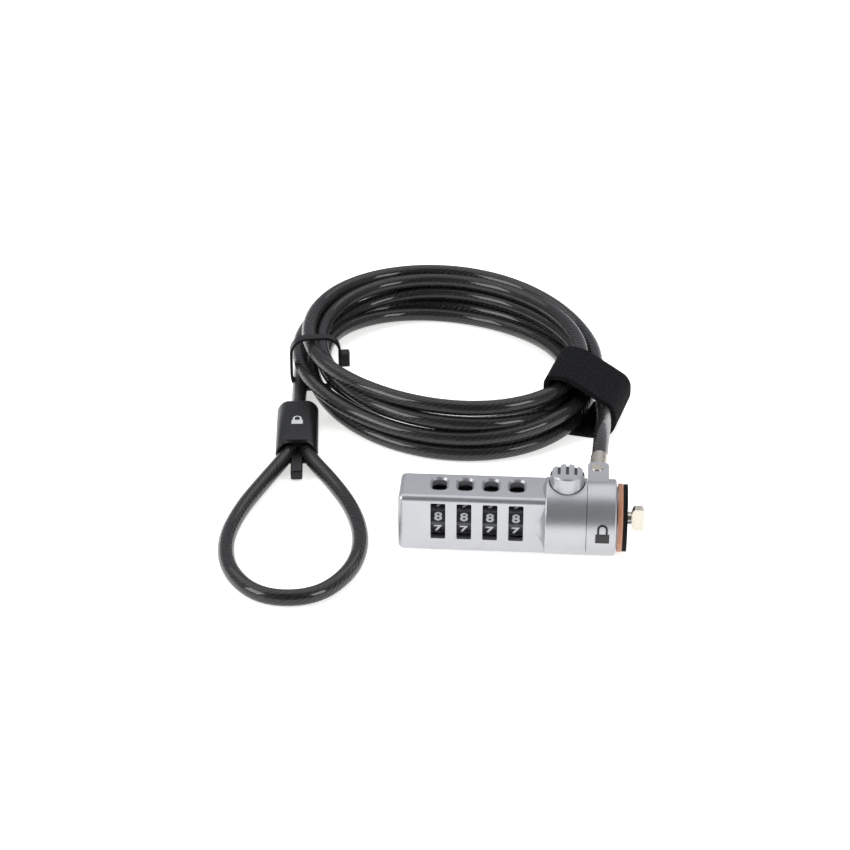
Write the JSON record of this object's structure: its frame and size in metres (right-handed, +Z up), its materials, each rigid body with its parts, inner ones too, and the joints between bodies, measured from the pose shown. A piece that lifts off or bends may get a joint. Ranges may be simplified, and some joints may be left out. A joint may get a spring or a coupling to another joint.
{
  "type": "laptop cable lock",
  "caption": "Combination lock with a push button and a turning T-bar for a security slot, on a coiled steel cable with a closed loop.",
  "frame": {"origin": "under the middle of the lock body, collar and T-bar, on the surface they lie on", "axes": "+X along the lock towards the T-bar, +Y to the back where the cable leaves, +Z up"},
  "size_m": [0.1158, 0.189, 0.0241],
  "materials": {
    "zinc": "satin nickel plated zinc casting",
    "steel": "satin steel",
    "plated_steel": "nickel plated",
    "spring_steel": "drawn wire",
    "brass": "machined",
    "dial_plastic": "black with white digits",
    "ring_plastic": "orange-brown moulded ring",
    "pad_rubber": "black soft pad",
    "cable_sheath": "smoked clear vinyl over dark wire rope",
    "sleeve_plastic": "black moulded sleeve",
    "strap_fabric": "black woven hook-and-loop strap",
    "tie_plastic": "black nylon"
  },
  "bodies": {
    "cable": {"cable_ferrule": "plated_steel", "cable_lead": "cable_sheath", "cable_coil": "cable_sheath", "cable_tail": "cable_sheath", "cable_loop": "cable_sheath", "loop_sleeve": "sleeve_plastic", "loop_crimp": "steel", "strap": "strap_fabric", "coil_tie": "tie_plastic"},
    "collar": {"swivel_collar": "zinc", "anchor_rivet": "plated_steel"},
    "housing": {"housing": "zinc", "back_cover": "zinc", "cover_screws": "steel", "click_spring": "spring_steel", "hub_tube": "brass", "set_screw_pin": "steel", "button_stop_pin": "steel", "button_spring": "spring_steel", "core_spring": "spring_steel", "nose_sleeve": "zinc", "nose_screws": "steel", "slot_pins": "steel", "spacer_ring": "ring_plastic", "face_pad": "pad_rubber"},
    "core": {"core_shaft": "steel"},
    "button": {"button": "zinc"},
    "tbar": {"tbar_spindle": "plated_steel", "pinion": "steel", "spindle_clip": "spring_steel"},
    "set_screw": {"set_screw": "brass"},
    "dial_1": {"dial_1": "dial_plastic", "hub_1": "zinc"},
    "dial_2": {"dial_2": "dial_plastic", "hub_2": "zinc"},
    "dial_3": {"dial_3": "dial_plastic", "hub_3": "zinc"},
    "dial_4": {"dial_4": "dial_plastic", "hub_4": "zinc"}
  },
  "joints": [
    {"name": "anchor", "type": "hinge", "parent": "cable", "child": "collar", "pos_m": [0.0202, 0.0081, 0.017], "axis": [0, 0, 1], "range_deg": [-15, 45]},
    {"name": "swivel", "type": "hinge", "parent": "collar", "child": "housing", "pos_m": [0.0208, -0.0008, 0.0104], "axis": [1, 0, 0], "continuous": true},
    {"name": "dial_1_spin", "type": "hinge", "parent": "housing", "child": "dial_1", "pos_m": [-0.02235, -0.0008, 0.0104], "axis": [1, 0, 0], "continuous": true, "deforming": ["click_spring"]},
    {"name": "dial_2_spin", "type": "hinge", "parent": "housing", "child": "dial_2", "pos_m": [-0.01535, -0.0008, 0.0104], "axis": [1, 0, 0], "continuous": true, "deforming": ["click_spring"]},
    {"name": "dial_3_spin", "type": "hinge", "parent": "housing", "child": "dial_3", "pos_m": [-0.00835, -0.0008, 0.0104], "axis": [1, 0, 0], "continuous": true, "deforming": ["click_spring"]},
    {"name": "dial_4_spin", "type": "hinge", "parent": "housing", "child": "dial_4", "pos_m": [-0.00135, -0.0008, 0.0104], "axis": [1, 0, 0], "continuous": true, "deforming": ["click_spring"]},
    {"name": "button_press", "type": "slide", "parent": "housing", "child": "button", "axis": [0, 0, 1], "range_m": [-0.003, 0], "stiffness_N_per_m": 400, "springref_m": 0.003, "deforming": ["button_spring"]},
    {"name": "core_slide", "type": "slide", "parent": "housing", "child": "core", "axis": [-1, 0, 0], "range_m": [0, 0.0012], "deforming": ["core_spring"]},
    {"name": "tbar_turn", "type": "hinge", "parent": "housing", "child": "tbar", "pos_m": [0.0168, -0.0008, 0.0104], "axis": [1, 0, 0], "range_deg": [-90, 0]},
    {"name": "set_screw_turn", "type": "hinge", "parent": "housing", "child": "set_screw", "pos_m": [-0.0317, -0.0008, 0.0104], "axis": [1, 0, 0], "range_deg": [0, 90]}
  ],
  "couplings": [
    {"joint": "core_slide", "follows": "button_press", "ratio": -0.4},
    {"joint": "tbar_turn", "follows": "button_press", "rad_per_m": 523.6}
  ]
}
